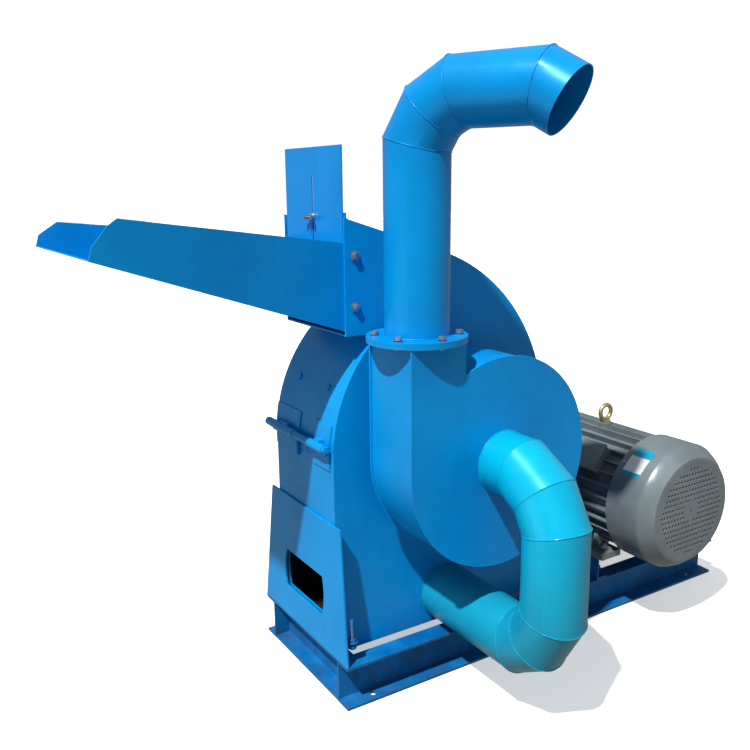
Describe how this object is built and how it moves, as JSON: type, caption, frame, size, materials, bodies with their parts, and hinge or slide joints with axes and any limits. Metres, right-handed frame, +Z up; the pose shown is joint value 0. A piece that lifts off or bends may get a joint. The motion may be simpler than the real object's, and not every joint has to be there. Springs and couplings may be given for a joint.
{
  "type": "hammer mill",
  "caption": "Hammer mill with sloping feed chute and slide gate, hinged hood, side suction fan, gooseneck outlet and belt-driven electric motor on a channel base.",
  "frame": {"origin": "centre of the four foundation holes, at the underside of the base", "axes": "+X along the base from the mill towards the motor, +Z up, the fan and both pipes on the -Y side, belts on the +Y side"},
  "size_m": [2.002, 0.9644, 1.5839],
  "materials": {
    "body_blue": "gloss paint",
    "base_blue": "gloss paint",
    "suction_cyan": "gloss paint",
    "motor_grey": "satin paint",
    "bare_steel": "machined",
    "zinc": "zinc plated",
    "yellow_zinc": "yellow passivated zinc",
    "cast_grey": "cast",
    "hard_steel": "hardened plate",
    "belt_rubber": "matt",
    "blank_label": "plain blank label",
    "windings": "laminations"
  },
  "bodies": {
    "stand": {"base_bolts": "base_blue", "bearing_bolts": "zinc", "bearing_brackets": "body_blue", "bearing_housings": "cast_grey", "belt_guard": "body_blue", "casing_hinge_leaves": "body_blue", "cover_screws": "zinc", "cross_members": "base_blue", "fan_back_plate": "body_blue", "fan_front_plate": "body_blue", "fan_standoff_bolts": "zinc", "fan_wrapper": "body_blue", "flange_bolts": "zinc", "front_leg_plate": "body_blue", "gooseneck": "body_blue", "hinge_pins": "body_blue", "intake_elbow": "suction_cyan", "intake_riser": "suction_cyan", "latch_pins": "zinc", "lower_casing": "body_blue", "motor_end_shields": "motor_grey", "motor_eyebolt": "yellow_zinc", "motor_fan_cover": "motor_grey", "motor_foot_bolts": "zinc", "motor_frame": "motor_grey", "motor_slides": "base_blue", "motor_stator": "windings", "rail_far": "base_blue", "rail_near": "base_blue", "rating_plate": "blank_label", "rear_leg_plate": "body_blue", "screen": "hard_steel", "terminal_box": "motor_grey", "terminal_box_lid": "motor_grey", "v_belts": "belt_rubber"},
    "hood": {"hood_shell": "body_blue", "hood_liner": "hard_steel", "liner_bolts": "body_blue", "hood_hinge_leaves": "body_blue", "feed_chute": "body_blue", "chute_bolts": "zinc", "gate_guides": "body_blue", "gate_clamp_stud": "zinc"},
    "rotor": {"mill_shaft": "bare_steel", "rotor_discs": "hard_steel", "hammer_pins": "bare_steel", "pin_spacers": "bare_steel", "fan_impeller": "hard_steel", "driven_pulley": "cast_grey"},
    "motor_rotor": {"motor_shaft": "bare_steel", "motor_pulley": "cast_grey", "motor_cooling_fan": "cast_grey"},
    "gate": {"feed_gate": "body_blue"},
    "wing_nut": {"gate_wing_nut": "zinc"},
    "latch_near": {"swing_bolt_near": "zinc"},
    "latch_far": {"swing_bolt_far": "zinc"},
    "hammers_1": {"hammer_row_1": "hard_steel"},
    "hammers_2": {"hammer_row_2": "hard_steel"},
    "hammers_3": {"hammer_row_3": "hard_steel"},
    "hammers_4": {"hammer_row_4": "hard_steel"}
  },
  "joints": [
    {"name": "hood_open", "type": "hinge", "parent": "stand", "child": "hood", "pos_m": [-0.719, 0, 0.675], "axis": [0, -1, 0], "range_deg": [0, 85]},
    {"name": "gate_slide", "type": "slide", "parent": "hood", "child": "gate", "axis": [0, 0, 1], "range_m": [-0.088, 0.076]},
    {"name": "wing_nut_turn", "type": "hinge", "parent": "hood", "child": "wing_nut", "pos_m": [-0.666, 0, 1.237], "axis": [-1, 0, 0], "continuous": true},
    {"name": "rotor_spin", "type": "hinge", "parent": "stand", "child": "rotor", "pos_m": [-0.355, 0, 0.648], "axis": [0, 1, 0], "continuous": true},
    {"name": "motor_spin", "type": "hinge", "parent": "stand", "child": "motor_rotor", "pos_m": [0.33, 0, 0.38], "axis": [0, 1, 0], "continuous": true},
    {"name": "hammers_1_swing", "type": "hinge", "parent": "rotor", "child": "hammers_1", "pos_m": [-0.22065, 0, 0.78235], "axis": [0, 1, 0], "continuous": true},
    {"name": "hammers_2_swing", "type": "hinge", "parent": "rotor", "child": "hammers_2", "pos_m": [-0.48935, 0, 0.78235], "axis": [0, 1, 0], "continuous": true},
    {"name": "hammers_3_swing", "type": "hinge", "parent": "rotor", "child": "hammers_3", "pos_m": [-0.48935, 0, 0.51365], "axis": [0, 1, 0], "continuous": true},
    {"name": "hammers_4_swing", "type": "hinge", "parent": "rotor", "child": "hammers_4", "pos_m": [-0.22065, 0, 0.51365], "axis": [0, 1, 0], "continuous": true},
    {"name": "latch_near_swing", "type": "hinge", "parent": "stand", "child": "latch_near", "pos_m": [0.01, -0.095, 0.6124], "axis": [0, -1, 0], "range_deg": [0, 180]},
    {"name": "latch_far_swing", "type": "hinge", "parent": "stand", "child": "latch_far", "pos_m": [0.01, 0.095, 0.6124], "axis": [0, -1, 0], "range_deg": [0, 180]}
  ],
  "couplings": [
    {"joint": "motor_spin", "follows": "rotor_spin", "ratio": 0.49821}
  ]
}
